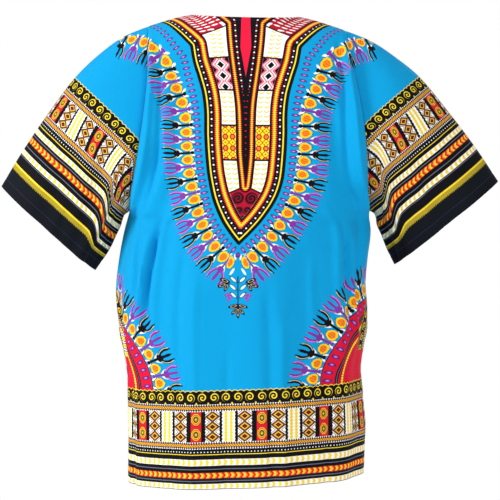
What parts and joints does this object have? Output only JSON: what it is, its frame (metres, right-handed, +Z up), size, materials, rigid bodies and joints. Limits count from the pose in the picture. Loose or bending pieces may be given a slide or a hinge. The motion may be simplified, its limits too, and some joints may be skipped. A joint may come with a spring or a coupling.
{
  "type": "dashiki shirt",
  "caption": "Boxy pullover shirt in printed cotton, filled out as worn, with wide short sleeves, a notched neck, patch pockets and side vents.",
  "frame": {"origin": "midway between the two ends of the neck opening, on the shoulder line, where the shirt rests on the shoulders", "axes": "+Z up, +X towards the wearer's right, +Y out of the front of the shirt; the back faces -Y"},
  "size_m": [0.8146, 0.2796, 0.7608],
  "materials": {
    "printed_cotton_body": "printed plain-weave cotton, blue with yoke, side and hem borders",
    "printed_cotton_sleeve": "printed plain-weave cotton, blue with a wide black and gold border",
    "printed_cotton_pocket": "printed plain-weave cotton with the border print"
  },
  "bodies": {
    "root": {"back": "printed_cotton_body", "front": "printed_cotton_body", "sleeve_left": "printed_cotton_sleeve", "sleeve_right": "printed_cotton_sleeve", "pocket_left": "printed_cotton_pocket", "pocket_right": "printed_cotton_pocket"}
  },
  "joints": []
}
